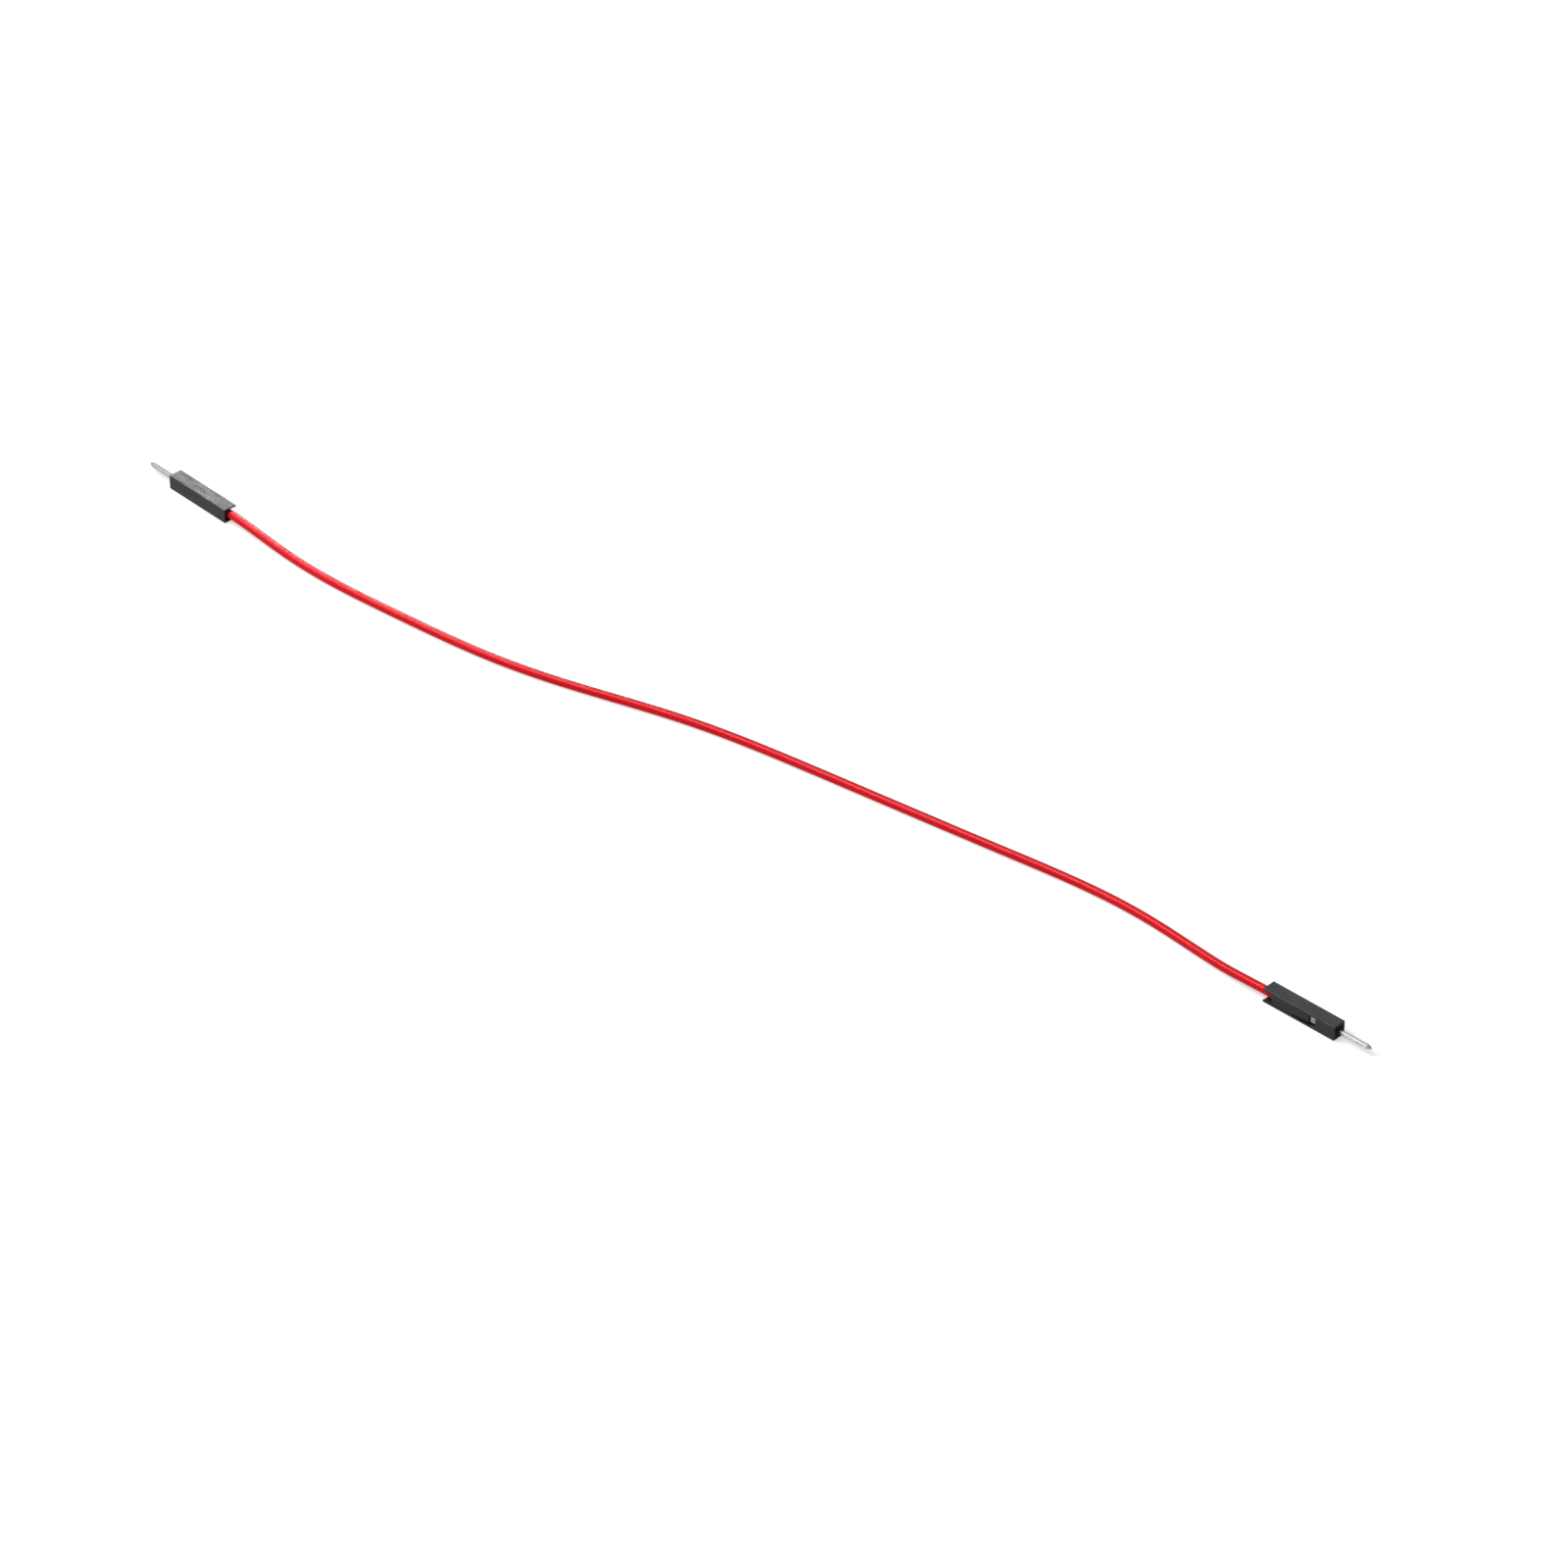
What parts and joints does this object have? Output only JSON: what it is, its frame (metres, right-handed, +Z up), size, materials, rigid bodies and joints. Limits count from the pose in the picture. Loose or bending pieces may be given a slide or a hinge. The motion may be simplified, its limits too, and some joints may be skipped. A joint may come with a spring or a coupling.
{
  "type": "breadboard jumper wire",
  "caption": "Flexible insulated lead with a black single-way pin connector crimped on each end, for joining sockets on a solderless breadboard.",
  "frame": {"origin": "on the surface that the lead lies on, under the middle of the two connectors' common box", "axes": "+X along the chord from the left connector to the right one, +Z up from the surface"},
  "size_m": [0.2456, 0.0109, 0.0025],
  "materials": {
    "housing_plastic": "moulded black nylon, satin, with fine streaks along it",
    "tin_plate": "bright tin plating on stamped brass sheet",
    "conductor": "tinned copper strands, twisted",
    "insulation": "extruded red PVC, glossy"
  },
  "bodies": {
    "root": {"housing_left": "housing_plastic", "housing_right": "housing_plastic", "terminal_left": "tin_plate", "terminal_right": "tin_plate", "strands_left": "conductor", "strands_right": "conductor", "insulated_wire": "insulation"}
  },
  "joints": []
}
